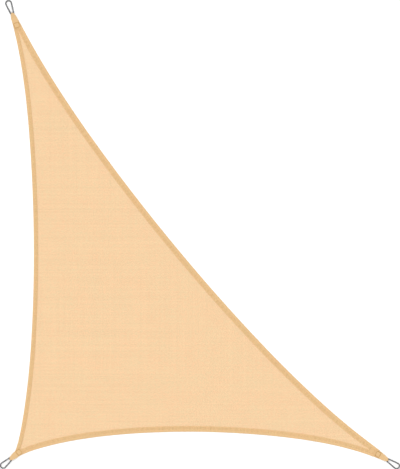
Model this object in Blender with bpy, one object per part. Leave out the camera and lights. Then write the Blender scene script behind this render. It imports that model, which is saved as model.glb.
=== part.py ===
"""A right-angled triangular shade sail laid out flat, with a steel ring folded into each corner.

Lengths are in metres and angles in degrees. The sail lies on z = 0 with its smooth side down, its
long leg along Y and its short leg along X, and the origin is on the floor under the middle of its box.
Each corner has its own frame: the origin is the tip of the corner's tab, +X points outward, away from
the cloth, and +Z is up.
"""
from collections import namedtuple
from math import asin, cos, pi, radians, sin, sqrt

import bmesh
import bpy
from mathutils import Matrix, Vector
from mathutils.geometry import intersect_line_line_2d

# --- Cloth: one layer of knitted shade cloth, with its edge turned over twice --------------------
CLOTH_THICK = 0.0010
HEM_LAYERS = 3
HEM_THICK = HEM_LAYERS * CLOTH_THICK
EDGE_STEPS = 44            # straight steps along each curved edge
BLUNT_END = 0.039          # width of the cloth's cut-off corner, inside its tab

# --- Tabs: a strip of webbing folded round the ring, with the cloth's corner between its ends ----
WEB_WIDTH = 0.040
WEB_THICK = 0.0015
GAP = 0.0003               # clearance between pieces that lie against each other
NOSE_WIDTH = 0.010         # where the strip passes through the ring
SHOULDER_WIDTH = 0.0224    # just behind the ring's wire
SHOULDER_DEPTH = 0.003
TAPER_END = 0.047          # distance from the tip at which the strip has its full width
TAPER_EASE = 1.35          # 1 is a straight taper, more is a rounder one

# --- Rings: round steel wire bent to a pear shape ------------------------------------------------
WIRE = 0.008
SMALL_BEND = 0.0102        # radius of the wire's middle line at the narrow end, in the tab
LARGE_BEND = 0.0182        # the same at the wide end
BEND_SPACING = 0.0615      # between the middles of the two bends
RING_SIDES = 4             # bevel steps, which give the wire 12 sides

# --- Corners -------------------------------------------------------------------------------------
# tip: the tab's end, heading: the direction outward, web: length of each of the tab's two layers,
# inset: from the tip back to the cloth's blunt end, slack: room behind the ring's wire in the fold,
# turn: how far the ring is swung from the tab's line.
Corner = namedtuple("Corner", "tip heading web inset slack turn")
CORNERS = {
    "left": Corner(tip=(-1.2178, -1.4400), heading=218.5, web=0.098, inset=0.060, slack=0.0085, turn=2.3),
    "right": Corner(tip=(1.2057, -1.4452), heading=328.6, web=0.098, inset=0.045, slack=0.0, turn=-1.3),
    "top": Corner(tip=(-1.2029, 1.4202), heading=111.5, web=0.108, inset=0.045, slack=0.0, turn=-1.3),
}

# --- Edges, anticlockwise ------------------------------------------------------------------------
# sag: depth of the edge's curve at its middle, fullness: how much rounder than a parabola it is near
# its ends, skew: how much deeper its first half is, hem: width of the turned edge.
Edge = namedtuple("Edge", "start end sag fullness skew hem")
EDGES = (
    Edge("left", "right", sag=0.166, fullness=0.067, skew=0.007, hem=0.0355),
    Edge("right", "top", sag=0.167, fullness=0.046, skew=0.007, hem=0.0385),
    Edge("top", "left", sag=0.131, fullness=0.056, skew=-0.007, hem=0.028),
)

# --- Heights worked out from the layers ----------------------------------------------------------
CORNER_LIFT = WEB_THICK + GAP                        # the cloth's corner lies on the tab's lower layer
RAMP_LENGTH = 0.030                                  # over which the cloth comes up to that height
RAMP_STEPS = 5
FOLD_RADIUS = WIRE / 2 + GAP + WEB_THICK             # outside of the fold round the wire
WIRE_HEIGHT = WEB_THICK + GAP + WIRE / 2             # middle of the wire in the fold
TAB_TOP = CORNER_LIFT + HEM_THICK + GAP + WEB_THICK  # top of the tab over the cloth
OVERSIZE = 0.01                                      # how far a cutter reaches past what it cuts


def clear_scene():
    for obj in list(bpy.data.objects):
        bpy.data.objects.remove(obj, do_unlink=True)


def new_collection(name):
    collection = bpy.data.collections.new(name)
    bpy.context.scene.collection.children.link(collection)
    return collection


def finish(name, colour, roughness, metallic):
    material = bpy.data.materials.new(name)
    material.use_nodes = True
    shader = material.node_tree.nodes["Principled BSDF"]
    shader.inputs["Base Color"].default_value = (*colour, 1.0)
    shader.inputs["Roughness"].default_value = roughness
    shader.inputs["Metallic"].default_value = metallic
    return material


def evaluated_mesh(obj):
    """The object's mesh with its modifiers or its curve worked out."""
    bpy.context.view_layer.update()
    graph = bpy.context.evaluated_depsgraph_get()
    return bpy.data.meshes.new_from_object(obj.evaluated_get(graph), depsgraph=graph)


def add_object(name, mesh, collection, parent=None):
    obj = bpy.data.objects.new(name, mesh)
    collection.objects.link(obj)
    obj.parent = parent
    return obj


def slab(name, outline, bottom, top):
    """A mesh of a flat outline, filled and made solid between two heights."""
    curve = bpy.data.curves.new(name, "CURVE")
    curve.dimensions = "2D"
    curve.fill_mode = "BOTH"
    curve.extrude = (top - bottom) / 2
    spline = curve.splines.new("POLY")
    spline.points.add(len(outline) - 1)
    for point, place in zip(spline.points, outline):
        point.co = (place[0], place[1], 0.0, 1.0)
    spline.use_cyclic_u = True
    drawing = bpy.data.objects.new(name, curve)
    bpy.context.scene.collection.objects.link(drawing)
    mesh = evaluated_mesh(drawing)
    bpy.data.objects.remove(drawing, do_unlink=True)
    bpy.data.curves.remove(curve)
    solid = bmesh.new()
    solid.from_mesh(mesh)
    bmesh.ops.remove_doubles(solid, verts=solid.verts, dist=1e-5)
    bmesh.ops.translate(solid, verts=solid.verts, vec=(0.0, 0.0, (top + bottom) / 2))
    solid.to_mesh(mesh)
    solid.free()
    mesh.name = name
    return mesh


def boolean(obj, cutter, operation):
    cut = obj.modifiers.new(operation.lower(), "BOOLEAN")
    cut.operation = operation
    cut.solver = "EXACT"
    cut.object = cutter


def set_mesh(obj, mesh):
    """Give a piece its worked-out mesh in place of its modifiers, rounded faces smooth and corners sharp."""
    mesh.shade_smooth()
    mesh.set_sharp_from_angle(angle=radians(35))
    obj.modifiers.clear()
    obj.data = mesh


def as_cutter(obj):
    obj.display_type = "WIRE"
    obj.hide_render = True
    return obj


# --- Cloth ---------------------------------------------------------------------------------------
def outward(corner):
    angle = radians(corner.heading)
    return Vector((cos(angle), sin(angle)))


def blunt_end(corner):
    """The two ends of the cloth's cut-off corner: where an edge leaves it, and where one arrives."""
    direction = outward(corner)
    across = Vector((direction.y, -direction.x))
    middle = Vector(corner.tip) - direction * corner.inset
    return middle - across * BLUNT_END / 2, middle + across * BLUNT_END / 2


def edge_line(edge, inset=0.0):
    """Points along an edge's curve, or along the line that lies inset from it, inside the cloth."""
    start = blunt_end(CORNERS[edge.start])[0]
    end = blunt_end(CORNERS[edge.end])[1]
    chord = end - start
    inward = Vector((-chord.y, chord.x)).normalized()
    line = []
    for step in range(EDGE_STEPS + 1):
        t = step / EDGE_STEPS
        depth = edge.sag + edge.fullness * (2 * t - 1) ** 2 + edge.skew * (1 - 2 * t)
        line.append(start + chord * t + inward * (4 * t * (1 - t) * depth))
    if inset == 0.0:
        return line
    moved = []
    for place, point in enumerate(line):
        along = line[min(place + 1, EDGE_STEPS)] - line[max(place - 1, 0)]
        moved.append(point + Vector((-along.y, along.x)).normalized() * inset)
    return moved


def crossing(first, second):
    """Where two lines cross: the step that it is in on each, and the point."""
    for i in range(len(first) - 1):
        for j in range(len(second) - 1):
            point = intersect_line_line_2d(first[i], first[i + 1], second[j], second[j + 1])
            if point is not None:
                return i, j, Vector(point)
    raise ValueError("two hems do not meet")


def cloth_outline():
    return [point for edge in EDGES for point in edge_line(edge)]


def panel_outline():
    """The single cloth inside the hems: the three hem lines, each cut off where it meets the next."""
    lines = [edge_line(edge, inset=edge.hem) for edge in EDGES]
    outline = []
    for place, line in enumerate(lines):
        first = crossing(lines[place - 1], line)[1]
        last, _, corner_point = crossing(line, lines[(place + 1) % len(lines)])
        outline += line[first + 1:last + 1]
        outline.append(corner_point)
    return outline


def lift_corner(solid, corner):
    """Bring one corner of the cloth up onto its tab's lower layer, over a short ramp."""
    direction = outward(corner)
    tip = Vector(corner.tip)
    ramp_start = corner.web + GAP
    for step in range(RAMP_STEPS + 1):
        back = ramp_start + RAMP_LENGTH * step / RAMP_STEPS
        bmesh.ops.bisect_plane(
            solid,
            geom=list(solid.verts) + list(solid.edges) + list(solid.faces),
            dist=1e-6,
            plane_co=(tip - direction * back).to_3d(),
            plane_no=direction.to_3d(),
        )
    for vert in solid.verts:
        back = (tip - vert.co.to_2d()).dot(direction)
        way = min(max((back - ramp_start) / RAMP_LENGTH, 0.0), 1.0)
        vert.co.z += CORNER_LIFT * (1 + cos(pi * way)) / 2


def make_cloth(collection, cutters, material):
    body = add_object("sail_cloth", slab("sail_cloth", cloth_outline(), 0.0, HEM_THICK), collection)
    top = HEM_THICK + OVERSIZE
    recess = as_cutter(add_object("panel_cutter", slab("panel", panel_outline(), CLOTH_THICK, top), cutters))
    boolean(body, recess, "DIFFERENCE")
    mesh = evaluated_mesh(body)
    solid = bmesh.new()
    solid.from_mesh(mesh)
    for corner in CORNERS.values():
        lift_corner(solid, corner)
    solid.to_mesh(mesh)
    solid.free()
    mesh.materials.clear()
    mesh.materials.append(material)
    set_mesh(body, mesh)


# --- Tabs ----------------------------------------------------------------------------------------
def ring_back(corner):
    """Where the wire's middle line turns back in the fold, with the bend's inside against the nose."""
    inside = SMALL_BEND - WIRE / 2 - GAP
    return sqrt(inside ** 2 - (NOSE_WIDTH / 2) ** 2) - WEB_THICK - SMALL_BEND - corner.slack


def tab_section(corner):
    """The folded strip seen from the side, as x and height: out along the floor, round, and back."""
    wire_x = ring_back(corner)
    flat_x = -corner.inset + NOSE_WIDTH / 2
    bore = FOLD_RADIUS - WEB_THICK
    fold_steps = 12
    slope_steps = 10
    slope = []
    for step in range(slope_steps + 1):
        way = step / slope_steps
        drop = (2 * FOLD_RADIUS - TAB_TOP) * (1 - cos(pi * way)) / 2
        slope.append((wire_x + (flat_x - wire_x) * way, 2 * FOLD_RADIUS - drop))
    turns = [-pi / 2 + pi * step / fold_steps for step in range(fold_steps + 1)]
    outside = [(-corner.web, 0.0)]
    outside += [(FOLD_RADIUS * (cos(a) - 1), WIRE_HEIGHT + FOLD_RADIUS * sin(a)) for a in turns]
    outside += slope
    outside.append((-corner.web, TAB_TOP))
    inside = [(-corner.web, TAB_TOP - WEB_THICK)]
    inside += [(x, height - WEB_THICK) for x, height in reversed(slope)]
    inside += [(bore * cos(a) - FOLD_RADIUS, WIRE_HEIGHT + bore * sin(a)) for a in reversed(turns)]
    inside.append((-corner.web, WEB_THICK))
    return outside + inside


def tab_plan(corner):
    """The strip seen from above: narrow where it passes through the ring, then widening."""
    side = [(OVERSIZE, NOSE_WIDTH / 2)]
    shoulder_steps = 4
    taper_steps = 10
    flare = (SHOULDER_WIDTH - NOSE_WIDTH) / 2
    for step in range(shoulder_steps + 1):
        angle = pi / 2 * step / shoulder_steps
        back = FOLD_RADIUS + SHOULDER_DEPTH * (1 - cos(angle))
        side.append((-back, NOSE_WIDTH / 2 + flare * sin(angle)))
    taper_start = FOLD_RADIUS + SHOULDER_DEPTH
    for step in range(1, taper_steps + 1):
        way = step / taper_steps
        width = SHOULDER_WIDTH + (WEB_WIDTH - SHOULDER_WIDTH) * (1 - (1 - way) ** TAPER_EASE)
        side.append((-(taper_start + (TAPER_END - taper_start) * way), width / 2))
    side.append((-corner.web - OVERSIZE, WEB_WIDTH / 2))
    return side + [(x, -y) for x, y in reversed(side)]


def make_tab(name, corner, place, collection, cutters, material):
    mesh = slab("corner_tab_" + name, tab_section(corner), -WEB_WIDTH, WEB_WIDTH)
    mesh.transform(Matrix.Rotation(pi / 2, 4, "X"))
    tab = add_object("corner_tab_" + name, mesh, collection, parent=place)
    plan = slab("tab_plan_" + name, tab_plan(corner), -OVERSIZE, 2 * FOLD_RADIUS + OVERSIZE)
    boolean(tab, as_cutter(add_object("tab_cutter_" + name, plan, cutters, parent=place)), "INTERSECT")
    mesh = evaluated_mesh(tab)
    mesh.materials.clear()
    mesh.materials.append(material)
    set_mesh(tab, mesh)


# --- Rings ---------------------------------------------------------------------------------------
def ring_line():
    """The wire's middle line: two bends joined by straight legs. x = 0 is the back of the small bend."""
    lean = asin((LARGE_BEND - SMALL_BEND) / BEND_SPACING)
    small_steps = 14
    large_steps = 22
    points = []
    for step in range(small_steps + 1):
        angle = pi / 2 + lean + (pi - 2 * lean) * step / small_steps
        points.append((SMALL_BEND + SMALL_BEND * cos(angle), SMALL_BEND * sin(angle)))
    for step in range(large_steps + 1):
        angle = -pi / 2 - lean + (pi + 2 * lean) * step / large_steps
        middle = SMALL_BEND + BEND_SPACING
        points.append((middle + LARGE_BEND * cos(angle), LARGE_BEND * sin(angle)))
    return points


def make_ring(name, corner, place, collection, material):
    curve = bpy.data.curves.new("corner_ring_" + name, "CURVE")
    curve.dimensions = "3D"
    curve.bevel_depth = WIRE / 2
    curve.bevel_resolution = RING_SIDES
    spline = curve.splines.new("POLY")
    line = ring_line()
    spline.points.add(len(line) - 1)
    for point, (x, y) in zip(spline.points, line):
        point.co = (x, y, 0.0, 1.0)
    spline.use_cyclic_u = True
    spline.use_smooth = True
    curve.materials.append(material)
    ring = add_object("corner_ring_" + name, curve, collection, parent=place)
    ring.location = (ring_back(corner), 0.0, WIRE_HEIGHT)
    # Its wide end comes down to the floor.
    dip = asin((WIRE_HEIGHT - WIRE / 2) / (SMALL_BEND + BEND_SPACING + LARGE_BEND))
    ring.rotation_euler = (0.0, dip, radians(corner.turn))


def build():
    clear_scene()
    parts = new_collection("shade_sail")
    cutters = new_collection("cutters")
    cloth = finish("knitted cloth", (0.94, 0.66, 0.39), 0.85, 0.0)
    webbing = finish("webbing", (0.81, 0.53, 0.27), 0.8, 0.0)
    steel = finish("steel", (0.42, 0.42, 0.43), 0.3, 1.0)
    make_cloth(parts, cutters, cloth)
    for name, corner in CORNERS.items():
        place = add_object("corner_" + name, None, parts)
        place.location = (*corner.tip, 0.0)
        place.rotation_euler = (0.0, 0.0, radians(corner.heading))
        make_tab(name, corner, place, parts, cutters, webbing)
        make_ring(name, corner, place, parts, steel)
    bpy.context.view_layer.update()


build()
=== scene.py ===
# %% [markdown]
# # A triangular shade sail, laid out flat
#
# The real thing is one piece of knitted shade cloth, cut as a right-angled triangle with hollow
# edges. Each edge is turned over twice and sewn down with two rows of stitches. At each corner a
# strip of webbing is folded round a pear-shaped steel ring, and its two ends are sewn to the cloth
# with a box of stitches. The sail lies on a pale floor and is seen from straight above.
#
# The solids that carry and collide come ready-made as a frame. This file dresses them: a finer mesh
# for each piece in the place of its solid, the sewing, and a finish for every surface.

# %% Load the frame
from collections import namedtuple
from math import asin, cos, pi, radians, sin, sqrt

import bpy
import numpy as np
from mathutils import Euler, Matrix, Vector
from mathutils.geometry import delaunay_2d_cdt


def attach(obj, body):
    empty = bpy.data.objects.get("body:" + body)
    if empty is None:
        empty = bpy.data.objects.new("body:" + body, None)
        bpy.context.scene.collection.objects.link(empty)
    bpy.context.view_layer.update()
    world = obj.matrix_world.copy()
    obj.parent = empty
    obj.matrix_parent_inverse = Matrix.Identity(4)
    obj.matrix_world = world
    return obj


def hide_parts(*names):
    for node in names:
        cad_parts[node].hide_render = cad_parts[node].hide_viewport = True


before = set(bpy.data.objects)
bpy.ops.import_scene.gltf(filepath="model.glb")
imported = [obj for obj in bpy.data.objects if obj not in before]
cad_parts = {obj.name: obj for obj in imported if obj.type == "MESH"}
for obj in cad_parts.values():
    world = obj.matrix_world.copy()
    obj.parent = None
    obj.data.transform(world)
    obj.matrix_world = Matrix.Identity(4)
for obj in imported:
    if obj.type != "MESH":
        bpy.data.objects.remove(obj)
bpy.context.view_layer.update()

# %% [markdown]
# ## The sail's own sizes
#
# A sail maker draws a sail from its corners: where each one is, which way its strap pulls, and how
# far each edge is hollowed between them, so that the edge pulls tight when the corners are
# stretched. These few sizes are written here, in metres and degrees, and every curve below follows
# from them.

# %% Corners and edges
# tip: where the tab folds, heading: the way it pulls, web: how far it reaches back, inset: how far
# back the cloth is cut off, slack and turn: how the ring lies in the fold, box and box_long: middle
# and length of the box of stitches, narrowing: the share of their width that hems lose towards it.
Corner = namedtuple("Corner", "tip heading web inset slack turn box box_long narrowing")
corners = {
    "left": Corner((-1.2178, -1.4400), 218.5, web=0.098, inset=0.060, slack=0.0085, turn=2.3,
                   box=0.076, box_long=0.028, narrowing=0.05),
    "right": Corner((1.2057, -1.4452), 328.6, web=0.098, inset=0.045, slack=0.0, turn=-1.3,
                    box=0.077, box_long=0.028, narrowing=0.07),
    "top": Corner((-1.2029, 1.4202), 111.5, web=0.108, inset=0.045, slack=0.0, turn=-1.3,
                  box=0.086, box_long=0.031, narrowing=0.14),
}
# sag: how deep the edge is hollowed, fullness and skew: how much deeper towards both ends and
# towards its start, sway: how far it wanders about that plain curve, drawn: how much further in it
# comes beside each corner, hem: the hem's width, rows: how far its stitches lie from the fold.
Edge = namedtuple("Edge", "start end sag fullness skew sway drawn hem rows")
edges = (
    Edge("left", "right", 0.1653, 0.0643, 0.0060, 0.0013, drawn=(0.0038, -0.0003),
         hem=0.0356, rows=(0.0186, 0.0271)),
    Edge("right", "top", 0.1655, 0.0472, 0.0072, 0.0005, drawn=(-0.0040, -0.0016),
         hem=0.0383, rows=(0.0198, 0.0283)),
    Edge("top", "left", 0.1293, 0.0528, -0.0054, 0.0011, drawn=(-0.0001, 0.0045),
         hem=0.0270, rows=(0.0144, 0.0224)),
)
CLOTH = 0.0010  # thickness of one layer of cloth
HEM = 3 * CLOTH  # and of the edge, turned over twice
BLUNT_WIDTH = 0.039  # width of the cloth where its corners are cut off
WEB_WIDTH = 0.040
WEB_THICK = 0.0015
GAP = 0.0003
CORNER_LIFT = WEB_THICK + GAP
WIRE = 0.008
DRAWN_REACH = 0.09  # how far from a corner its pull on the edges is strongest
NARROWEST, PLAIN = 0.05, 0.28  # how far from a corner the hems stop and start to narrow
STATION = 0.006  # spacing of the mesh's points along the edges


def axes_of(corner):
    """A corner's tip, the way its strap pulls, and the way across that."""
    direction = np.array([cos(radians(corner.heading)), sin(radians(corner.heading))])
    return np.array(corner.tip), direction, np.array([direction[1], -direction[0]])


def blunt_end(corner):
    """The two ends of the cloth's cut-off corner: where one edge leaves it, and one arrives."""
    tip, direction, across = axes_of(corner)
    middle, half = tip - direction * corner.inset, across * BLUNT_WIDTH / 2
    return middle - half, middle + half


def eased(value, start, end):
    """0 up to start, 1 from end on, and smooth between them."""
    way = np.clip((value - start) / (end - start), 0, 1)
    return way * way * (3 - 2 * way)


def reach_along(line):
    """How far along a line each of its points is."""
    return np.hstack([[0], np.hypot(*np.diff(line, axis=0).T).cumsum()])


def left_of(along):
    """The way to the left of each of these directions, 1 long."""
    along = along / np.hypot(*along.T)[:, None]
    return np.column_stack([-along[:, 1], along[:, 0]])


def edge_curve(edge):
    """Points along an edge's hollow curve, and the way into the cloth at each, which is shorter
    where the hem is narrower."""
    start = blunt_end(corners[edge.start])[0]
    end = blunt_end(corners[edge.end])[1]
    chord = end - start
    length = np.hypot(*chord)
    t = np.linspace(0, 1, round(length / STATION) + 1)[:, None]
    depth = edge.sag + edge.fullness * (2 * t - 1) ** 2 + edge.skew * (1 - 2 * t)
    depth = depth + edge.sway * np.cos(4 * pi * t)
    beside = (t * length / DRAWN_REACH, (1 - t) * length / DRAWN_REACH)
    drawn = sum(amount * way * np.exp(1 - way) for amount, way in zip(edge.drawn, beside))
    into = np.array([-chord[1], chord[0]]) / length
    points = start + chord * t + into * (4 * t * (1 - t) * depth + drawn)
    pinch = sum(
        corners[name].narrowing * (1 - eased(way * length, NARROWEST, PLAIN))
        for name, way in ((edge.start, t), (edge.end, 1 - t))
    )
    return points, left_of(np.gradient(points, axis=0)) * (1 - pinch)


hem_widths = np.array([edge.hem for edge in edges])
curves = [edge_curve(edge) for edge in edges]
edge_lengths = [reach_along(curve)[-1] for curve, _ in curves]
for edge, length in zip(edges, edge_lengths):
    print(f"edge {edge.start} to {edge.end}: {length:.3f} m along its curve")

# %% [markdown]
# ## Camera
#
# The picture is square on, so the camera looks straight down from far off through a long lens. Its
# distance follows from the lens: the picture's long side takes the whole width of the sensor, and
# has to span the floor that the picture shows.

# %% Camera
PICTURE_HEIGHT = 3.0016  # metres of floor from the top to the bottom of the picture
LENS = 200.0  # millimetres
SENSOR = 36.0

scene = bpy.context.scene
camera = bpy.data.objects.new("camera", bpy.data.cameras.new("camera"))
camera.data.lens = LENS
camera.data.sensor_width = SENSOR
camera.data.clip_end = 200.0
camera.location = (0.0006, 0.0009, PICTURE_HEIGHT * LENS / SENSOR)
scene.collection.objects.link(camera)
scene.camera = camera
print("camera height", round(camera.location.z, 2), "m")

# %% [markdown]
# ## Light and floor
#
# A white sky lights everything evenly, and one very soft sun from the upper left gives the hems and
# the rings a light and a dark side. A sun is used in place of a lamp because its light is equally
# strong at every corner of a thing three metres wide. The floor is almost white, and bright enough
# to look like paper in the picture.

# %% Light and floor
SKY = 1.15
SUN = 0.90
SUN_TILT = 42.0  # degrees from straight down
SUN_TURN = -50.0  # degrees: the light comes from the upper left
SUN_SPREAD = 40.0  # degrees across, as a wide sun is a soft one
FLOOR_ALBEDO = 0.925
FLOOR_SIZE = 160.0
FLOOR_DROP = 0.0002  # how far it lies below the cloth
LIGHT_LEVEL = SKY + SUN * cos(radians(SUN_TILT)) / pi

scene.view_settings.view_transform = "Standard"
scene.world = world = bpy.data.worlds.new("white sky")
world.use_nodes = True
sky = world.node_tree.nodes["Background"].inputs
sky["Color"].default_value = (1.0, 1.0, 1.0, 1.0)
sky["Strength"].default_value = SKY

sun = bpy.data.objects.new("soft sun", bpy.data.lights.new("soft sun", "SUN"))
sun.data.energy = SUN
sun.data.angle = radians(SUN_SPREAD)
sun.rotation_euler = (0.0, -radians(SUN_TILT), radians(SUN_TURN))
scene.collection.objects.link(sun)

bpy.ops.mesh.primitive_plane_add(size=FLOOR_SIZE, location=(0.0, 0.0, -FLOOR_DROP))
floor = bpy.context.object
floor.name = "pale_floor"
print("light on the floor:", round(LIGHT_LEVEL, 3), "of full white")

# %% [markdown]
# ## Shader sums as Python
#
# A finish is a formula: how high the yarn stands here, how dark the hollow beside it is. Drawing
# such a formula as boxes and wires is slow to read, so this small class lets it be written as a
# sum. It holds one output of a node, and each sign in the sum adds the Math node that does it.

# %% Signals
def sign(operation, swapped=False):
    """A method that adds the Math node for one sign, with its two values in either order."""
    def method(self, other=0.0):
        first, second = (other, self) if swapped else (self, other)
        return self.add("ShaderNodeMath", {"operation": operation}, {0: first, 1: second})
    return method


class Signal:
    """One value on its way through a material. Its sums and products are new nodes."""

    def __init__(self, tree, socket=None):
        self.tree, self.socket = tree, socket

    def add(self, kind, settings=None, inputs=None, output=0):
        """A new node of the material: its settings first, then its inputs."""
        node = self.tree.nodes.new(kind)
        for name, value in (settings or {}).items():
            setattr(node, name, value)
        for name, value in (inputs or {}).items():
            if isinstance(value, Signal):
                self.tree.links.new(value.socket, node.inputs[name])
            else:
                node.inputs[name].default_value = value
        return Signal(self.tree, node.outputs[output])

    __add__, __radd__ = sign("ADD"), sign("ADD", swapped=True)
    __sub__, __rsub__ = sign("SUBTRACT"), sign("SUBTRACT", swapped=True)
    __mul__, __rmul__ = sign("MULTIPLY"), sign("MULTIPLY", swapped=True)
    __truediv__, __pow__, __abs__ = sign("DIVIDE"), sign("POWER"), sign("ABSOLUTE")
    fraction, rounded, angle_over = sign("FRACT"), sign("ROUND"), sign("ARCTAN2")
    larger, smaller = sign("MAXIMUM"), sign("MINIMUM")

    def split(self):
        """The three parts of a place, each a signal of its own."""
        parts = self.add("ShaderNodeSeparateXYZ", None, {"Vector": self}).socket.node.outputs
        return [Signal(self.tree, part) for part in parts]

    def mixed(self, way, share, first, second):
        """Two colours mixed. Sockets 6, 7 and 2 are the node's own for colours."""
        settings = {"data_type": "RGBA", "blend_type": way}
        return self.add("ShaderNodeMix", settings, {0: share, 6: first, 7: second}, output=2)

    def colour_to(self, first, second):
        """A colour between two others: the first where this is 0, the second where it is 1."""
        return self.mixed("MIX", self, first, second)

    def times_colour(self, other):
        """Two colours, multiplied part by part. A plain value counts as a grey."""
        return self.mixed("MULTIPLY", 1.0, self, other)

    def stored(self, name, output="Vector"):
        """What the mesh stores under this name: a place, or one number from the output Fac."""
        return self.add("ShaderNodeAttribute", {"attribute_name": name}, output=output)

    def relief(self, strength, depth):
        """A surface that seems to rise by this much where the signal is 1."""
        inputs = {"Strength": strength, "Distance": depth, "Height": self}
        return self.add("ShaderNodeBump", None, inputs)


# %% Helpers for finishes
def socket_of(material, name):
    """One of the shader's own sockets, such as Base_Color or Normal."""
    return material.node_tree.nodes["Principled BSDF"].inputs[name.replace("_", " ")]


def new_finish(name, **values):
    """A material with these values on the shader's sockets, and a signal to start from."""
    material = bpy.data.materials.new(name)
    material.use_nodes = True
    for socket, value in values.items():
        socket_of(material, socket).default_value = value
    return material, Signal(material.node_tree)


def feed(material, **signals):
    """Lead signals to the shader's sockets."""
    for socket, signal in signals.items():
        material.node_tree.links.new(signal.socket, socket_of(material, socket))


GLOSS = 0.035  # share of the light that plastic yarn sends back white


def paint(red, green, blue):
    """The base colour that looks like this picture colour, 0 to 255, under the light above."""
    screen = np.array([red, green, blue]) / 255
    linear = np.where(screen <= 0.04045, screen / 12.92, ((screen + 0.055) / 1.055) ** 2.4)
    return (*((linear / LIGHT_LEVEL - GLOSS) / (1 - GLOSS)), 1.0)


def colour_of(red, green, blue):
    """A colour whose three parts are signals."""
    return red.add("ShaderNodeCombineColor", None, {"Red": red, "Green": green, "Blue": blue})


def streaks(x, y, *kinds, detail=3.0):
    """Noise around 0. Each kind is its strength, and its swells in a metre of x, and of y."""
    total = 0.0
    for strength, along, across in kinds:
        place = x.add("ShaderNodeCombineXYZ", None, {"X": x * along, "Y": y * across})
        inputs = {"Vector": place, "Scale": 1.0, "Detail": detail}
        total = total + strength * (place.add("ShaderNodeTexNoise", None, inputs) - 0.5)
    return total


white = (FLOOR_ALBEDO, FLOOR_ALBEDO, FLOOR_ALBEDO, 1.0)
chalk, _ = new_finish("pale floor", Base_Color=white, Roughness=1.0, Specular_IOR_Level=0.0)
floor.data.materials.append(chalk)

# %% [markdown]
# ## Knitted shade cloth
#
# Shade cloth is warp-knitted from plastic yarn. Chains of loops run down it about 3 mm apart. Flat
# tapes are laid in, and zigzag from each chain to the next, which leaves small three-cornered holes
# beside the chains. The holes are too small and too many to model, so the knit is a height that a
# bump reads, and the holes get a painted shade, a darker colour where the yarn lies low. Longer
# streaks, of yarn that took the dye a bit more or less, run along and across the cloth, and faint
# warmer and greener patches lie over them.
#
# The knit is read from coordinates that are stored on the mesh, because the turned hem shows the
# back of the same cloth, mirrored in the fold. Where three layers lie together the cloth is darker,
# since no light comes back up through it.

# %% The knit
CHAIN = 0.0030  # from one chain of loops to the next
COURSE = 0.0024  # from one loop to the next in a chain
KNIT_DEPTH = 0.0004
# A loop's two legs, in chains: how far from its middle they start, how much they spread, and half
# their width.
LEG_START, LEG_SPREAD, LEG_HALF = 0.04, 0.12, 0.11
TAPE_HALF = 0.42  # half a tape's width, in courses
TAPE_HEIGHT = 0.6  # where the top of a chain is 1


def knit_height(x, y):
    """How high the yarn stands, from 0 in a hole to 1 on a chain of loops."""
    across, along = x / CHAIN, y / COURSE
    beside = abs(across.fraction() - 0.5)
    leg = abs(beside - (LEG_START + LEG_SPREAD * along.fraction()))
    chain = (1 - (leg / LEG_HALF) ** 2).larger(0.0)
    over = across - 0.5
    rising = abs(((along - over) * 0.5).fraction() - 0.5)
    falling = abs(((along + over) * 0.5).fraction() - 0.5)
    off_tape = 2 * rising.smaller(falling)
    tape = (1 - (off_tape / TAPE_HALF) ** 4).larger(0.0)
    return chain.larger(TAPE_HEIGHT * tape)


# %% Knitted cloth finish
PANEL_COLOUR = paint(249, 213, 170)
HEM_COLOUR = paint(237, 198, 148)
# painted shade of the dips and puckers that the stitches pull into the hem
STITCH_SHADE_COLOUR = paint(218, 178, 126)
YARN_TONE = 1.090  # the yarn is lighter than the cloth as a whole, which the painted shade in its holes darkens
# painted shade in the knit's holes: how much darker the cloth is where the yarn lies low
HOLE_SHADE = 0.25
MITRE_SHADE, MITRE_LINE = 0.14, 0.0007  # painted shade along the line where two hems meet and crease, and half its width
# Rows, columns, grain and clouds: the strength of each, and its swells in a metre across and along.
DYE = ((0.14, 0.7, 120), (0.09, 110, 0.9), (0.54, 155, 170), (0.05, 9, 12))
WARM_SPOTS, WARM_PATCHES = (0.10, 60, 64), (0.06, 7, 8)


def knitted_cloth():
    material, start = new_finish("knitted cloth", Roughness=0.82)
    x, y, hem = start.stored("knit").split()
    sewn, mitre = start.stored("stitch_shade", "Fac"), start.stored("mitre", "Fac")
    height = knit_height(x, y)
    # where the painted shade of the mitre line lies; it also makes the groove for the bump
    fold_line = (1 - mitre / MITRE_LINE).larger(0.0) * hem
    # panel and hem colours, and the painted shade along the stitch rows
    base = sewn.colour_to(hem.colour_to(PANEL_COLOUR, HEM_COLOUR), STITCH_SHADE_COLOUR)
    # painted shade: in the knit's holes, and along the line where two hems meet
    dark = HOLE_SHADE * (1 - height) ** 2 + MITRE_SHADE * fold_line
    tone = YARN_TONE + streaks(x, y, *DYE) - dark
    warm = streaks(x, y, WARM_SPOTS, detail=1.0) + streaks(x, y, WARM_PATCHES)
    cooler = tone * (1 - warm)
    shaded = base.times_colour(colour_of(tone * (1 + warm), cooler, cooler))
    feed(material, Base_Color=shaded, Normal=(height - fold_line).relief(0.5, KNIT_DEPTH))
    return material


cloth_finish = knitted_cloth()
print("knitted cloth:", len(cloth_finish.node_tree.nodes), "nodes")


# %% [markdown]
# ## Where a point of the cloth is
#
# Everything about the sail's surface follows from one measure: how far a point lies from each of
# the three folded edges. That tells whether it is on a hem, where the hem's rounded folds are, and
# where the stitches pull the cloth down. It is measured once for all points together with numpy.

# %% Distances from the edges
BATCH = 4000  # points measured at once, which keeps the memory small


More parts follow.
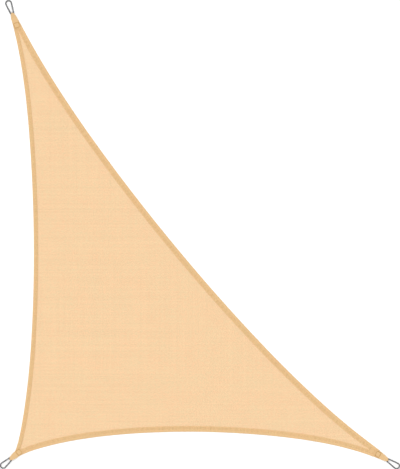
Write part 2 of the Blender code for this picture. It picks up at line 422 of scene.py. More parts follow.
def from_edges(points):
    """For each point and edge: the distance, in which a narrowed hem counts as wide as the rest of
    it, the nearest place along the edge, and the way inward."""
    distance, station = np.empty((2, len(points), len(edges)))
    inward = np.empty((len(points), len(edges), 2))
    for column, (curve, normals) in enumerate(curves):
        for first in range(0, len(points), BATCH):
            batch = slice(first, first + BATCH)
            some = points[batch]
            near = ((some[:, None] - curve[None]) ** 2).sum(2).argmin(1)
            before, after = np.maximum(near - 1, 0), np.minimum(near + 1, len(curve) - 1)
            along = curve[after] - curve[before]
            length = np.hypot(*along.T)
            step = ((some - curve[near]) * along).sum(1) / length
            step = np.clip(step, -STATION / 2, STATION / 2)
            foot = curve[near] + along / length[:, None] * step[:, None]
            into = normals[near]
            distance[batch, column] = ((some - foot) * into).sum(1) / (into ** 2).sum(1)
            station[batch, column] = near * STATION + step
            inward[batch, column] = into
    return distance, station, inward


def in_others(points, column):
    """How deep points lie in the nearer of the two other hems, in widths of that hem."""
    return np.delete(from_edges(points)[0] / hem_widths, column, axis=1).min(1)


def behind_tip(points, corner):
    """How far points lie behind a corner's tip, along the line of its tab."""
    tip, direction, _ = axes_of(corner)
    return (tip - points) @ direction


# %% [markdown]
# ## The shape of the cloth
#
# Laid out by hand, a sail is flat but not dead flat: there are slow waves a millimetre or two high,
# and the hems ripple a little, because the sewing has drawn them in. The cloth's corners lie on the
# lower layer of the tabs. All this lifts the whole thickness of the cloth, so it goes into the
# underside's height.
#
# The top is the underside plus the layers. A hem's outer edge is a fold, so it is round. Its inner
# edge is a fold too, and ends in a small step down to the single cloth. Stitches pull the hem down
# along two lines, and between them it puckers every inch or so.

# %% Heights
WAVE = 0.0016
# Each swell's share of a wave, its turn in a metre of x and of y, and where it starts.
SWELLS = (
    (1.0, 7.1, 3.3, 0.4), (0.8, -4.2, 8.7, 1.9), (0.5, 13.0, 9.5, 4.2), (0.3, -19.0, 14.0, 2.7)
)
CALM, FREE = 0.02, 0.40  # how far behind a tab the waves begin, and have their full height
RIPPLE = 0.0005
RIPPLE_REACH = 0.055  # how far in from an edge it fades
RIPPLE_LENGTHS = (0.13, 0.15, 0.17)  # along each of the edges
PUCKER = 0.00022
PUCKER_LENGTH, PUCKER_REACH = 0.027, 0.009
STITCH_DIP = 0.00045
STITCH_SPREAD = 0.0018
PULL_LENGTH = 0.021  # along which a row pulls now harder, now less
INNER_ROLL = 0.0010  # radius of the hem's inner fold
MITRE_DIP, MITRE_SPREAD = 0.0003, 0.0012  # groove where one hem runs into the next
RAMP = 0.030  # length of cloth that comes down from the tab's lower layer
HAIR = 1e-6  # smaller than any size here


def slow_wave(points):
    """Soft swells in four directions, from 0 to 1."""
    x, y = points.T
    swell = sum(share * np.sin(a * x + b * y + start) for share, a, b, start in SWELLS)
    return (swell / 2.6 + 1) / 2


def uneven(station, wavelength):
    """A ripple along an edge whose waves are never quite the same length or height."""
    turn = 2 * pi * station / wavelength
    return np.sin(turn + 1.3 * np.sin(turn / 5.3)) * (0.75 + 0.25 * np.sin(turn / 3.7 + 1))


def underside_height(points, distance, station):
    """Height of the cloth's underside above the floor, without the rounding of its edge."""
    lift = np.zeros(len(points))
    free = np.ones(len(points))
    for corner in corners.values():
        back = behind_tip(points, corner)
        way = np.clip((back - corner.web - GAP) / RAMP, 0, 1)
        lift += CORNER_LIFT * (1 + np.cos(pi * way)) / 2
        free *= eased(back, corner.web + CALM, corner.web + FREE)
    lift += WAVE * free * slow_wave(points)
    for away, along, length in zip(distance.T, station.T, RIPPLE_LENGTHS):
        near = np.exp(-((away / RIPPLE_REACH) ** 2))
        lift += RIPPLE * free * near * (1 + uneven(along, length)) / 2
    return lift, free


def hem_profile(distance, station, edge, free):
    """Height of the layers over the underside, near one edge."""
    into_roll = np.clip((distance - edge.hem + INNER_ROLL) / INNER_ROLL, 0, 1)
    top = HEM - INNER_ROLL * (1 - np.sqrt(1 - into_roll ** 2))
    for row in edge.rows:
        pull = 0.8 + 0.2 * uneven(station, PULL_LENGTH)
        top = top - STITCH_DIP * pull * np.exp(-(((distance - row) / STITCH_SPREAD) ** 2))
    between = (distance - sum(edge.rows) / 2) / PUCKER_REACH
    top = top + PUCKER * free * uneven(station, PUCKER_LENGTH) * np.exp(-(between ** 2))
    return np.where(distance > edge.hem + HAIR, CLOTH, top)


def from_mitre(distance):
    """How far points lie from the line where two hems are equally deep, about, in metres, and
    whether they lie on both hems."""
    share = np.sort(distance / hem_widths, axis=1)
    return (share[:, 1] - share[:, 0]) * hem_widths.mean(), share[:, 1] < 1


def cloth_heights(points):
    """Underside and top of the cloth at each point, and the measures from the edges."""
    distance, station, inward = from_edges(points)
    under, free = underside_height(points, distance, station)
    hems = [hem_profile(*near, free) for near in zip(distance.T, station.T, edges)]
    mitre, both = from_mitre(distance)
    groove = MITRE_DIP * np.exp(-((mitre / MITRE_SPREAD) ** 2)) * both
    return under, under + (np.max(hems, axis=0) - groove), distance, station, inward


# %% [markdown]
# ## The cloth's mesh
#
# The points are laid in rows that follow the edges: close together where the hem turns or steps,
# and wide apart over the plain middle. Joining them by hand would be long, so Blender's flat
# triangulation does it. It is given the rows as lines that it must keep, and the sail's outline as
# the face that it must fill. The same triangles serve the top and, turned over, the underside, and
# the two meet at the outline, which makes one closed piece.

# %% Rows of points
EDGE_RADIUS = HEM / 2
STEP_WIDTH = 0.00015  # the hem's inner edge drops to the single cloth over this width
GRID = 0.028
FOLD_ANGLES = (20, 45, 70, 90)  # degrees round the hem's outer fold
PLAIN_ROW, BEFORE_ROWS, BEFORE_ROLL = 0.005, 0.0045, 0.003
PAST_HEM = (STEP_WIDTH, 0.004, 0.011, 0.022)
MITRE_STEP, MITRE_SEARCH = 0.005, 0.05  # along a mitre, and to either side of it
GROOVE_HALF = 0.0014  # how far the two lines beside a mitre lie from it
# In widths of a hem: how far before a mitre its rows end, how deep the two lines beside the mitre
# go, then the places on it, and the search for them.
MITRE_ROOM, GROOVE_END, LAST_PLACE, MITRE_END = 0.05, 0.88, 0.995, 1.1


def row_offsets(edge):
    """How far from the folded edge the rows of points lie."""
    fold = [EDGE_RADIUS * (1 - cos(radians(a))) for a in FOLD_ANGLES]
    sewn = [PLAIN_ROW, edge.rows[0] - BEFORE_ROWS, sum(edge.rows) / 2]
    for row in edge.rows:
        sewn += [row - STITCH_SPREAD, row, row + STITCH_SPREAD]
    inner = [edge.hem - x for x in (BEFORE_ROLL, INNER_ROLL, 0.3 * INNER_ROLL, 0.0)]
    beyond = [edge.hem + x for x in PAST_HEM]
    return sorted(fold + sewn + inner + beyond)


def row_pieces(column, offset):
    """One row of points, less what lies beyond the line where the neighbouring hem begins."""
    curve, normals = curves[column]
    row = curve + normals * offset
    own = in_others(row, column) > offset / edges[column].hem + MITRE_ROOM
    ends = np.flatnonzero(np.diff(np.hstack([[0], own, [0]])))
    for first, last in zip(ends[::2], ends[1::2]):
        if last - first > 1:
            yield list(row[first:last])


def mitre_line(name, corner):
    """Places from a corner's blunt end inward where two hems are equally deep, the share of each
    hem's width that lies outside the place, and the way across the line."""
    first, second = (i for i, edge in enumerate(edges) if name in (edge.start, edge.end))
    tip, direction, across = axes_of(corner)
    sideways = np.linspace(-MITRE_SEARCH, MITRE_SEARCH, 101)
    places, depths = [], [0.0]
    back = corner.inset
    while depths[-1] < MITRE_END:
        back += MITRE_STEP
        line = tip - direction * back + across * sideways[:, None]
        share = from_edges(line)[0] / hem_widths
        lead = share[:, first] - share[:, second]
        order = np.argsort(lead)
        middle = np.interp(0.0, lead[order], sideways[order])
        depths.append(np.interp(middle, sideways, share[:, first]))
        places.append(tip - direction * back + across * middle)
    return np.array(places), np.array(depths[1:]), across


def place_at(amount, line, amounts):
    """Where a measure that grows along a line of points has this amount."""
    return np.stack([np.interp(amount, amounts, line[:, k]) for k in range(2)], -1)


def keep_line(line):
    """Add a row of points, and the lines from each to the next."""
    lines.extend((len(points) + i, len(points) + i + 1) for i in range(len(line) - 1))
    points.extend(line)


outline = np.vstack([curve for curve, _ in curves])
points, lines = list(outline), []
mitres = {name: mitre_line(name, corner) for name, corner in corners.items()}
for column, edge in enumerate(edges):
    for offset in row_offsets(edge):
        for run in row_pieces(column, offset):
            if edge.hem <= offset <= edge.hem + STEP_WIDTH:
                start, end = (
                    place_at(1 + (offset - edge.hem) / hem_widths.mean(), *mitres[name][:2])
                    for name in (edge.start, edge.end)
                )
                run = [start] + run + [end]
            keep_line(run)
for places, depths, across in mitres.values():
    keep_line(list(places[depths < LAST_PLACE]) + [place_at(1.0, places, depths)])
    for shift in (-GROOVE_HALF, GROOVE_HALF):
        keep_line(list(places[depths < GROOVE_END] + across * shift))
low, high = outline.min(0), outline.max(0)
grid = np.array([
    (x + GRID / 2 * (number % 2), y)
    for number, y in enumerate(np.arange(low[1], high[1], GRID * sqrt(3) / 2))
    for x in np.arange(low[0], high[0], GRID)
])
room = (from_edges(grid)[0] - hem_widths).min(1)
points += list(grid[room > PAST_HEM[-1] + GRID / 2])
print(len(points), "points in rows and grid,", len(lines), "kept lines")

# %% Cloth mesh
WITHIN = 1  # asks for the triangles inside the outline alone
flat, _, triangles, *_ = delaunay_2d_cdt(
    [Vector(p) for p in points], lines, [list(range(len(outline)))], WITHIN, HAIR
)
flat = np.array([tuple(v) for v in flat])
triangles = np.array(triangles)
a, b, c = (flat[triangles[:, k]].T for k in range(3))
area = ((b - a)[0] * (c - a)[1] - (b - a)[1] * (c - a)[0]) / 2
triangles[area < 0] = triangles[area < 0][:, ::-1]

sides = np.vstack([triangles[:, [0, 1]], triangles[:, [1, 2]], triangles[:, [2, 0]]])
pairs, uses = np.unique(np.sort(sides, axis=1), axis=0, return_counts=True)
rim = np.zeros(len(flat), bool)
rim[pairs[uses == 1].ravel()] = True

under, top, distance, station, inward = cloth_heights(flat)
nearest = distance.min(1)
fold = np.clip(EDGE_RADIUS - nearest, 0, EDGE_RADIUS)
half = np.sqrt(EDGE_RADIUS ** 2 - fold ** 2)
rounded = nearest < EDGE_RADIUS
top = np.where(rounded, under + EDGE_RADIUS + half, top)
bottom = np.where(rounded, under + EDGE_RADIUS - half, under)
top[rim] = bottom[rim] = under[rim] + EDGE_RADIUS

# %% [markdown]
# The underside gets its own copy of every point but those on the rim. What the finish has to read
# is stored on the mesh. The knit's place and whether this is a hem go on the corners of the
# triangles, because they change at once from one triangle to the next: on a hem's top the place is
# the point mirrored in that hem's fold, measured round the fold as the cloth itself goes. The
# painted shade along the rows of stitches, which follows how close a row is, and the line between
# two hems, change smoothly, so they go on the points.

# %% What the finish reads
ROW_SHADE_REACH = 0.0026  # how far from a row of stitches the painted shade of its dips reaches
ROW_SHADE_STRENGTH = 0.24  # strength of the painted shade of the dips and puckers the stitches pull; below, the strength and length of its waves along a row
ROW_SHADE_WAVES = ((0.50, 0.027), (0.55, 0.0175), (0.20, 0.042))
ROW_SHADE_FROM, ROW_SHADE_TO = 0.003, 0.011  # how far from a mitre the rows' painted shade begins, and is full

other = np.where(rim, np.arange(len(flat)), 0)
other[~rim] = len(flat) + np.arange((~rim).sum())
verts = np.vstack([np.column_stack([flat, top]), np.column_stack([flat, bottom])[~rim]])
faces = np.vstack([triangles, other[triangles][:, ::-1]])

middles = from_edges(flat[triangles].mean(1))[0]
owner = (middles / hem_widths).argmin(1)
is_hem = (middles - hem_widths).min(1) < 0.9 * STEP_WIDTH
round_fold = EDGE_RADIUS * np.arccos(1 - np.clip(distance / EDGE_RADIUS, 0, 1))
on_flat = np.maximum(distance - EDGE_RADIUS, 0)
down_step = np.where(distance > hem_widths + HAIR, HEM - CLOTH, 0.0)
as_knitted = distance + (round_fold + on_flat) + down_step
pick = (triangles, owner[:, None])
mirrored = flat[triangles] - inward[pick] * as_knitted[pick][..., None]
knit_top = np.where(is_hem[:, None, None], mirrored, flat[triangles])
knit_top = np.dstack([knit_top, np.repeat(is_hem[:, None], 3, axis=1)])
knit_under = np.dstack([flat[triangles], knit_top[..., 2]])[:, ::-1]

own = (np.arange(len(flat)), (distance / hem_widths).argmin(1))
sewn_rows = np.array([edge.rows for edge in edges])[own[1]]
close = np.exp(-(((distance[own][:, None] - sewn_rows) / ROW_SHADE_REACH) ** 2)).max(1)
close *= (hem_widths[own[1]] / hem_widths.max()) ** 2
mitre, _ = from_mitre(distance)
row_shade = ROW_SHADE_STRENGTH + sum(share * uneven(station[own], length) for share, length in ROW_SHADE_WAVES)
# painted shade along the stitch rows, waving along each row with the puckers
stitch_shade = np.clip(close * row_shade, 0, 1) * eased(mitre, ROW_SHADE_FROM, ROW_SHADE_TO)


# %% Knitted sail
def new_piece(name, verts, faces, finish, smooth_angle=None):
    """An object from points and faces, shaded smooth except where it turns sharply."""
    mesh = bpy.data.meshes.new(name)
    mesh.from_pydata(verts.tolist(), [], [tuple(map(int, f)) for f in faces])
    mesh.shade_smooth()
    if smooth_angle:
        mesh.set_sharp_from_angle(angle=radians(smooth_angle))
    mesh.materials.append(finish)
    piece = bpy.data.objects.new(name, mesh)
    scene.collection.objects.link(piece)
    return piece


def store(piece, name, values, domain="POINT"):
    """Keep one number, or one place, for each point of a piece, or each corner of its faces."""
    values = np.asarray(values, np.float32)
    kind, field = ("FLOAT", "value") if values.ndim == 1 else ("FLOAT_VECTOR", "vector")
    piece.data.attributes.new(name, kind, domain).data.foreach_set(field, values.ravel())


sail = new_piece("knitted_sail", verts, faces, cloth_finish, smooth_angle=50)
store(sail, "knit", np.vstack([knit_top, knit_under]).reshape(-1, 3), "CORNER")
store(sail, "stitch_shade", np.hstack([stitch_shade, stitch_shade[~rim]]))
store(sail, "mitre", np.hstack([mitre, mitre[~rim]]))
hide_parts("sail_cloth")
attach(sail, "root")
print("sail height", float(verts[:, 2].max()), "lowest", float(verts[:, 2].min()))

# %% [markdown]
# ## Sewing thread
#
# Each stitch that shows is a short piece of thick thread that rises out of one needle hole and dips
# into the next. One stitch is a small tube of a few rings, full in the middle and sunk at both
# ends. A row is that stitch repeated by numpy between one needle hole and the next. The thread is
# three plies twisted together, so each point of a tube is told how far along and how far round it
# is, and the finish works out from these where the grooves between the plies run.

# %% Thread finish
TWIST = 0.0024  # one full turn of the plies
PLIES = 3
PLY_GROOVE_SHADE, PLY_DEPTH = 0.22, 0.0001  # painted shade in the grooves between them, and how deep the grooves are
SPOT_TONES = (0.90, 1.10)
SPOTS = (3.0, 36, 36)


def sewing_thread(name, colour):
    material, start = new_finish(name, Roughness=0.55)
    side, top, along = start.stored("round").split()
    turn = top.angle_over(side) / (2 * pi)
    ply = 2 * abs((PLIES * (turn + along / TWIST)).fraction() - 0.5)
    x, y, _ = start.add("ShaderNodeTexCoord", output="Object").split()
    spot = streaks(x, y, SPOTS, detail=1.0) + 0.5
    dark, light = (paint(*(k * c for c in colour)) for k in SPOT_TONES)
    # painted shade in the grooves between the plies
    tone = 1.0 - PLY_GROOVE_SHADE * (1 - ply) ** 3
    dyed = spot.larger(0.0).smaller(1.0).colour_to(dark, light)
    shaded = dyed.times_colour(tone)
    feed(material, Base_Color=shaded, Normal=ply.relief(0.6, PLY_DEPTH))
    return material


hem_thread = sewing_thread("hem thread", (230, 192, 146))
box_thread = sewing_thread("box thread", (210, 160, 84))

# %% Stitches
STITCH_SIDES = 6
# The rings of one stitch: how far along it, and how thick and how high, in radii of the thread.
STITCH_RINGS = (
    (0.0, 0.4, -1.1), (0.15, 0.9, -0.1), (0.5, 1.0, 0.05), (0.85, 0.9, -0.1), (1.0, 0.4, -1.1)
)
STITCH_POINTS = STITCH_SIDES * len(STITCH_RINGS)


def quads_between(index, beside):
    """Faces from each point and the one beside it to the same two in the next row."""
    return np.stack([index[:-1], beside[:-1], beside[1:], index[1:]], 2).reshape(-1, 4)


def stitches(name, starts, ends, radius, thread):
    """A piece of thread for each start and end: a tube that dips at both ends."""
    run = ends - starts
    length = np.sqrt((run ** 2).sum(1))
    up = np.array([0.0, 0.0, 1.0])
    asides = np.cross(up, run / length[:, None])
    verts, round_thread = [], []
    for way, size, rise in STITCH_RINGS:
        centre = starts + run * way + up * (rise * radius)
        for angle in np.arange(STITCH_SIDES) * 2 * pi / STITCH_SIDES:
            verts.append(centre + (asides * cos(angle) + up * sin(angle)) * radius * size)
            place = np.broadcast_arrays(cos(angle), sin(angle), length * way)
            round_thread.append(np.column_stack(place))
    verts = np.stack(verts, 1).reshape(-1, 3)
    index = np.arange(STITCH_POINTS).reshape(-1, STITCH_SIDES)
    one = [*quads_between(index, np.roll(index, -1, axis=1)), index[0, ::-1], index[-1]]
    faces = [first + face for first in range(0, len(verts), STITCH_POINTS) for face in one]
    piece = new_piece(name, verts, faces, thread)
    store(piece, "round", np.stack(round_thread, 1).reshape(-1, 3))
    return piece


# %% [markdown]
# The hem's stitches are laid on the top that was worked out above, so they follow each ripple. A
# row stops where the cloth goes in between the webbing, and at the line where the neighbouring hem
# begins, because there the needle turns into that hem's row.

# %% Hem stitching
STITCH_PITCH = 0.0052
STITCH_GAP = 0.0009  # between two stitches, under the cloth
STITCH_RADIUS = 0.00045
STITCH_LIFT = 0.4 * STITCH_RADIUS
TAB_ROOM = 0.002  # a row stops this far behind a tab


def on_top(places):
    """Where thread lies on the cloth."""
    return np.column_stack([places, cloth_heights(places)[1] + STITCH_LIFT])


def hem_row(column, offset):
    """Starts and ends of the stitches of one row."""
    curve, normals = curves[column]
    row = curve + normals * offset
    reach = reach_along(row)
    holes = np.arange(0, reach[-1] - STITCH_PITCH, STITCH_PITCH)
    starts, ends = (place_at(holes + x, row, reach) for x in (STITCH_GAP, STITCH_PITCH))
    middles = (starts + ends) / 2
    keep = in_others(middles, column) > offset / edges[column].hem
    for corner in corners.values():
        keep &= behind_tip(middles, corner) > corner.web + TAB_ROOM
    return on_top(starts[keep]), on_top(ends[keep])


runs = [hem_row(column, offset) for column, edge in enumerate(edges) for offset in edge.rows]
starts, ends = (np.vstack(holes) for holes in zip(*runs))
hem_stitching = stitches("hem_stitching", starts, ends, STITCH_RADIUS, hem_thread)
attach(hem_stitching, "root")
print("hem stitches:", len(starts))

# %% [markdown]
# ## Webbing tabs
#
# Each tab is one strip of woven webbing. It lies flat under the cloth's corner, runs out, gathers
# to a narrow neck, turns up and over the ring's wire, and comes back along the top of the corner.
# The strip is a grid: one way along its folded path, the other way across it. At every step of the
# path the grid is as wide as the webbing is there, and pleats stand up where it is gathered.

# %% Webbing finish
RIB = 0.0016  # from one cross rib of the weave to the next
WEB_COLOUR = paint(237, 199, 149)
WEB_TONE = 0.97  # of the hollows between the ribs, painted in shade
# painted highlight on the tops of the ribs
RIB_HIGHLIGHT = 0.07
WEB_DYE = ((0.10, 60, 900), (0.10, 120, 120))
SELVEDGE_DARK = 0.06


def webbing():
    material, start = new_finish("webbing", Roughness=0.75)
    x, y, _ = start.stored("weave").split()
    along, across = x / RIB, y / RIB
    shifted = along + 0.5 * (across * 0.5).fraction().rounded()
    rib = 1 - (2 * abs(shifted.fraction() - 0.5)) ** 2
    cord = 1 - (2 * abs(across.fraction() - 0.5)) ** 2
    height = rib * cord
    selvedge = (abs(y) / (WEB_WIDTH / 2)) ** 12
    # painted shade in the weave's hollows, painted highlight on its ribs
    tone = WEB_TONE + RIB_HIGHLIGHT * height + streaks(x, y, *WEB_DYE) - SELVEDGE_DARK * selvedge
    shaded = tone.times_colour(WEB_COLOUR)
    feed(material, Base_Color=shaded, Normal=height.relief(0.6, 0.0003))
    return material


web_finish = webbing()

# %% Tab shape
NOSE_WIDTH = 0.010
SHOULDER_WIDTH = 0.0224
SHOULDER_DEPTH = 0.003
TAPER_END = 0.047
TAPER_EASE = 1.35
SMALL_BEND = 0.0102
FOLD_RADIUS = WIRE / 2 + GAP + WEB_THICK
WIRE_HEIGHT = WEB_THICK + GAP + WIRE / 2
TAB_TOP = CORNER_LIFT + HEM + GAP + WEB_THICK
PLEAT = 0.0008
PLEATS = 3
GATHERED, SPREAD_OUT = 0.012, 0.050  # how far from the tip the pleats are full, and gone
BOX_ACROSS = 0.033
BOX_BAND = 0.0044  # how far the zigzag swings from side to side
BOX_DIP = 0.00030
BOX_PUFF = 0.00035
PUFF_FROM, PUFF_TO = 0.002, 0.010  # how far inside the box it begins, and is full


def ring_back(corner):
    """Where the wire's middle line turns back in the fold."""
    inside = SMALL_BEND - WIRE / 2 - GAP
    return sqrt(inside ** 2 - (NOSE_WIDTH / 2) ** 2) - WEB_THICK - SMALL_BEND - corner.slack


def tab_width(x):
    """Width of the strip at x, where the tip is 0 and the cloth lies at negative x."""
    back = -x - FOLD_RADIUS
    turn = np.clip(back / SHOULDER_DEPTH, 0, 1)
    neck = NOSE_WIDTH + (SHOULDER_WIDTH - NOSE_WIDTH) * np.sqrt(1 - (1 - turn) ** 2)
    taper = TAPER_END - FOLD_RADIUS - SHOULDER_DEPTH
    way = np.clip((back - SHOULDER_DEPTH) / taper, 0, 1)
    wide = SHOULDER_WIDTH + (WEB_WIDTH - SHOULDER_WIDTH) * (1 - (1 - way) ** TAPER_EASE)
    return np.where(turn < 1, neck, wide)


def tab_path(corner):
    """The strip's middle line from its lower end round the fold to its upper one: x, z and how far
    it has come up, from 0 to 1."""
    middle = FOLD_RADIUS - WEB_THICK / 2
    lower_x = -FOLD_RADIUS - (corner.web - FOLD_RADIUS) * np.linspace(1, 0, 40) ** 1.3
    turns = np.linspace(-pi / 2, pi / 2, 15)[1:-1]
    fold_x = -FOLD_RADIUS + middle * np.cos(turns)
    fold_z = WIRE_HEIGHT + middle * np.sin(turns)
    upper_x = lower_x[::-1]
    start, end = ring_back(corner), -corner.inset + NOSE_WIDTH / 2
    way = np.clip((start - upper_x) / (start - end), 0, 1)
    high, low = 2 * FOLD_RADIUS - WEB_THICK / 2, TAB_TOP - WEB_THICK / 2
    upper_z = high + (low - high) * (1 - np.cos(pi * way)) / 2
    x = np.hstack([lower_x, fold_x, upper_x])
    z = np.hstack([np.full(len(lower_x), WEB_THICK / 2), fold_z, upper_z])
    up = np.hstack([np.zeros(len(lower_x)), (np.sin(turns) + 1) / 2, np.ones(len(upper_x))])
    return x, z, up


def tab_dip(corner, x, y):
    """How much the box pulls the upper layer down, less how much that puffs up inside it."""
    past_end = np.abs(x + corner.box) - corner.box_long / 2
    outside = np.maximum(past_end, np.abs(y) - BOX_ACROSS / 2)
    pulled = np.exp(-((outside / (0.6 * BOX_BAND)) ** 4))
    return BOX_DIP * pulled - BOX_PUFF * eased(-outside, PUFF_FROM, PUFF_TO)


# %% [markdown]
# The strip's mesh has an outer and an inner skin that meet at its two edges and its two ends. The
# edges are rounded by letting the two skins come together over the last millimetre, as the skins
# of real webbing do at its woven edge.

# %% Tabs
ACROSS = np.sin(np.linspace(-pi / 2, pi / 2, 29))  # closer together towards the edges
SKIN_ROOM = 0.0001  # how far each skin stays inside the webbing's full thickness
THICKNESS = WEB_THICK - 2 * SKIN_ROOM
SELVEDGE = 0.94  # from this share of the half width on, the skins come together
SELVEDGE_THIN = 0.96  # and how nearly they meet, 1 being wholly


def tab_mesh(corner):
    """Points and faces of a tab in its own frame, its weave's coordinates, and its length."""
    x, z, up = tab_path(corner)
    line = np.column_stack([x, z])
    outward = -left_of(np.gradient(line, axis=0))
    reach = reach_along(line)
    half_width = tab_width(x) / 2
    gathered = PLEAT * (1 - eased(-x, GATHERED, SPREAD_OUT)) * up
    folds = (1 - np.cos(2 * pi * PLEATS * (ACROSS + 1) / 2)) / 2
    rounding = np.clip((np.abs(ACROSS) - SELVEDGE) / (1 - SELVEDGE), 0, 1)
    half_thick = THICKNESS / 2 * np.sqrt(1 - rounding ** 2 * SELVEDGE_THIN)
    y = half_width[:, None] * ACROSS
    flat_x, along = np.broadcast_arrays(x[:, None], reach[:, None], y)[:2]
    dip = (up == 1)[:, None] * tab_dip(corner, flat_x, y)
    lift = gathered[:, None] * folds[None] - dip
    skins = [
        np.stack([flat_x + outward[:, :1] * off, y, z[:, None] + outward[:, 1:] * off], 2)
        for off in (lift + half_thick, lift - half_thick)
    ]
    weave = np.stack([along, y * WEB_WIDTH / 2 / half_width[:, None], 0 * y], 2)
    weave = np.tile(weave.reshape(-1, 3), (2, 1))
    count = y.size
    index = np.arange(count).reshape(y.shape)
    quads = quads_between(index[:, :-1], index[:, 1:])
    border = np.hstack([index[0], index[1:, -1], index[-1, -2::-1], index[-2:0:-1, 0]])
    border = np.stack([border, border + count])
    walls = quads_between(np.roll(border, -1, axis=1), border)
    faces = np.vstack([quads, quads[:, ::-1] + count, walls])
    return np.vstack(skins).reshape(-1, 3), faces, weave, reach[-1]


def corner_place(corner):
    """From the tab's own frame, with the tip at 0 and +X outward, to the sail's."""
    return Matrix.Translation((*corner.tip, 0.0)) @ Matrix.Rotation(radians(corner.heading), 4, "Z")


for name, corner in corners.items():
    tab_verts, tab_faces, weave, tab_length = tab_mesh(corner)
    tab = new_piece("webbing_tab_" + name, tab_verts, tab_faces, web_finish, smooth_angle=60)
    store(tab, "weave", weave)
    tab.data.transform(corner_place(corner))
    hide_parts("corner_tab_" + name)
    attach(tab, "root")
    print(f"tab {name}: strip {WEB_WIDTH:.3f} by {tab_length:.3f} m, {len(tab_faces)} faces")

# %% [markdown]
# ## Box stitching
#
# A box is what holds the load: a dense zigzag that goes once round a square, through webbing, cloth
# and webbing, in a thicker thread than the hem's. It lies in the groove that it has pulled.

# %% Box stitching
BOX_STEP = 0.00125  # how far the zigzag moves on with each swing
BOX_RADIUS = 0.00050
BOX_LIFT = 0.3 * BOX_RADIUS


def zigzag_holes(corner):
    """The needle's holes round the box, in the tab's frame, alternately outside and inside."""
    along, across = corner.box_long / 2, BOX_ACROSS / 2
    square = np.array([(-along, -across), (along, -across), (along, across), (-along, across)])
    holes = []
    for start, end in zip(square, np.roll(square, -1, axis=0)):
        side = end - start
        length = np.hypot(*side)
        outside = np.array([side[1], -side[0]]) / length
        count = 2 * round(length / BOX_STEP / 2)
        for step in range(count):
            swing = BOX_BAND / 2 * (1 if step % 2 else -1)
            holes.append(start + side * (step + 0.5) / count + outside * swing)
    return np.array(holes) - [corner.box, 0.0]


def box_stitches(name, corner):
    holes = zigzag_holes(corner)
    height = TAB_TOP - SKIN_ROOM - tab_dip(corner, *holes.T) + BOX_LIFT
    starts = np.column_stack([holes, height])
    ends = np.roll(starts, -1, axis=0)
    box = stitches("box_stitching_" + name, starts, ends, BOX_RADIUS, box_thread)
    box.data.transform(corner_place(corner))
    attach(box, "root")
    return box


box_stitchings = {name: box_stitches(name, corner) for name, corner in corners.items()}
print("box stitches:", [len(b.data.vertices) // STITCH_POINTS for b in box_stitchings.values()])

# %% [markdown]
# ## Steel rings
#
# A ring is a length of round wire, bent to a pear and welded shut. The frame's solid has the right
# shape with few sides. Here the same line is swept with more, and the butt weld is added: a short
# ground band on one leg near the cloth, a hair thicker than the wire. The wire is drawn through a
# die, which leaves faint lines along it, and it is mirror-bright only where it was ground. That
# band is also painted lighter, as a painted highlight.

# %% Steel finish
STEEL_TONE = 0.135
LINE_TONE, GROUND_GLINT_TONE = 0.05, 0.18  # added by the lines along the wire, and on the weld band: ground metal, and a painted highlight
STEEL_ROUGH = 0.30
LINE_ROUGH, GROUND_SMOOTH = 0.2, 0.12
DRAWN_LINES = (1.0, 40, 900)
LINE_DEPTH = 0.0001
BLUISH = 1.02


def steel():
    material, start = new_finish("polished steel", Roughness=STEEL_ROUGH, Metallic=1.0)
    ground = start.stored("ground", "Fac")
    along, around, _ = start.stored("drawn").split()
    lines = streaks(along, around, DRAWN_LINES)
    # the weld band is lighter: smoother ground metal, and a painted highlight
    tone = STEEL_TONE + LINE_TONE * lines + GROUND_GLINT_TONE * ground
    feed(
        material,
        Base_Color=colour_of(tone, tone, tone * BLUISH),
        Roughness=STEEL_ROUGH + LINE_ROUGH * lines - GROUND_SMOOTH * ground,
        Normal=lines.relief(0.25, LINE_DEPTH),
    )
    return material


steel_finish = steel()

# %% Rings
LARGE_BEND = 0.0182
BEND_SPACING = 0.0615
WIRE_SIDES = 20
WELD_FROM_TIP = 0.0095
WELD_LENGTH = 0.0030
WELD_THICKER = 0.03  # share of the wire's thickness


def bend(middle, radius, angles):
    """Points of the wire's middle line round one bend."""
    return np.column_stack([middle + radius * np.cos(angles), radius * np.sin(angles)])


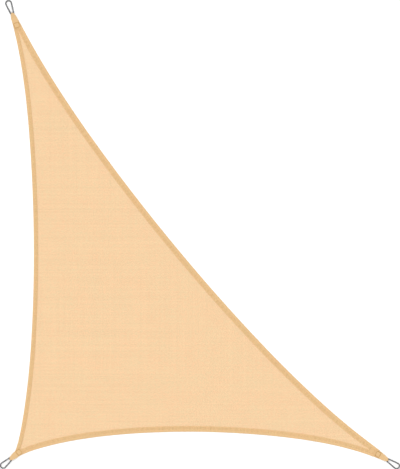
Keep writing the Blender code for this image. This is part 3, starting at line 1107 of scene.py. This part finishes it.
def ring_line():
    """The wire's middle line from the back of the small bend, about every 1.5 mm, as x and y."""
    lean = asin((LARGE_BEND - SMALL_BEND) / BEND_SPACING)
    middle = SMALL_BEND + BEND_SPACING
    small_arc = bend(SMALL_BEND, SMALL_BEND, np.linspace(pi, pi / 2 + lean, 12)[:-1])
    large_arc = bend(middle, LARGE_BEND, np.linspace(pi / 2 + lean, 0, 20)[:-1])
    leg_start = np.array([SMALL_BEND - SMALL_BEND * sin(lean), SMALL_BEND * cos(lean)])
    leg = leg_start + (large_arc[0] - leg_start) * np.linspace(0, 1, 41)[:-1, None]
    upper = np.vstack([small_arc, leg, large_arc])
    return np.vstack([upper, [[middle + LARGE_BEND, 0.0]], upper[:0:-1] * [1, -1]])


def ring_mesh(corner):
    """Points and faces of a ring, its place along and round the wire, and how near the weld is."""
    line = ring_line()
    side = left_of(np.roll(line, -1, axis=0) - np.roll(line, 1, axis=0))
    from_tip = line[:, 0] + ring_back(corner)
    weld = np.exp(-(((from_tip - WELD_FROM_TIP) / WELD_LENGTH) ** 4)) * (line[:, 1] < 0)
    radius = WIRE / 2 * (1 + WELD_THICKER * weld)
    angles = np.arange(WIRE_SIDES) * 2 * pi / WIRE_SIDES
    aside, up = radius[:, None] * np.cos(angles), radius[:, None] * np.sin(angles)
    verts = np.dstack([line[:, None] + side[:, None] * aside[:, :, None], up])
    around = np.minimum(angles, 2 * pi - angles) * WIRE / 2
    drawn = np.stack(np.broadcast_arrays(reach_along(line)[:, None], around, 0.0), 2)
    index = np.arange(len(line) * WIRE_SIDES).reshape(-1, WIRE_SIDES)
    index = np.vstack([index, index[:1]])
    quads = quads_between(index, np.roll(index, -1, axis=1))
    return verts.reshape(-1, 3), quads, drawn.reshape(-1, 3), np.repeat(weld, WIRE_SIDES)


for name, corner in corners.items():
    ring_verts, ring_faces, drawn, ground = ring_mesh(corner)
    ring = new_piece("steel_ring_" + name, ring_verts, ring_faces, steel_finish)
    store(ring, "drawn", drawn)
    store(ring, "ground", ground)
    dip = asin((WIRE_HEIGHT - WIRE / 2) / (SMALL_BEND + BEND_SPACING + LARGE_BEND))
    seat = Matrix.Translation((ring_back(corner), 0.0, WIRE_HEIGHT))
    lean = Euler((0.0, dip, radians(corner.turn))).to_matrix().to_4x4()
    ring.data.transform(corner_place(corner) @ seat @ lean)
    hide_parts("corner_ring_" + name)
    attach(ring, "root")
print("rings:", len(ring_faces), "faces each")
